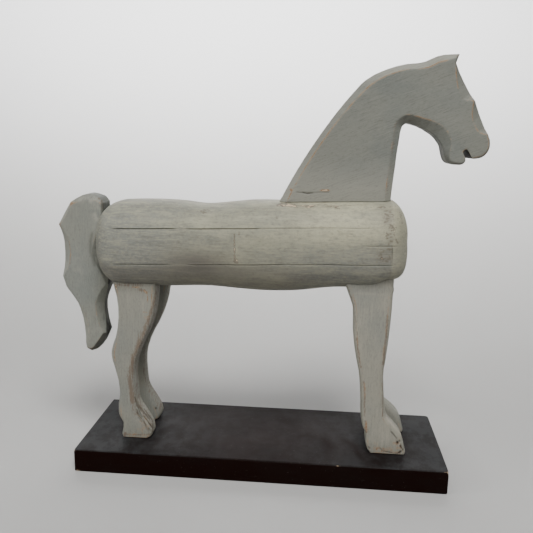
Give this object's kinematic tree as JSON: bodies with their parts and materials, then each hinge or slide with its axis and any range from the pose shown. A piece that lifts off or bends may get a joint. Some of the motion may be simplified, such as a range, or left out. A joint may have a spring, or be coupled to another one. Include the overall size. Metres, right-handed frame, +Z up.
{
  "type": "carved wooden horse statue",
  "caption": "Standing folk-art horse sawn and carved from thick boards and painted grey, fixed on a plain black base board.",
  "frame": {"origin": "centre of the base board's underside", "axes": "+X towards the horse's head, along the base; +Y towards the horse's left side; +Z up"},
  "size_m": [0.5147, 0.1494, 0.5056],
  "materials": {
    "grey_paint": "matt grey paint brushed thinly over carved wood, rubbed through to brown wood on its edges",
    "grey_paint_warm": "matt warm grey paint over glued planks, worn and streaked along the grain",
    "black_paint": "satin black paint, dusty on top"
  },
  "bodies": {
    "root": {"base": "black_paint", "torso": "grey_paint_warm", "neck_and_head": "grey_paint", "tail": "grey_paint", "fore_leg_right": "grey_paint", "fore_leg_left": "grey_paint", "hind_leg_right": "grey_paint", "hind_leg_left": "grey_paint"}
  },
  "joints": []
}
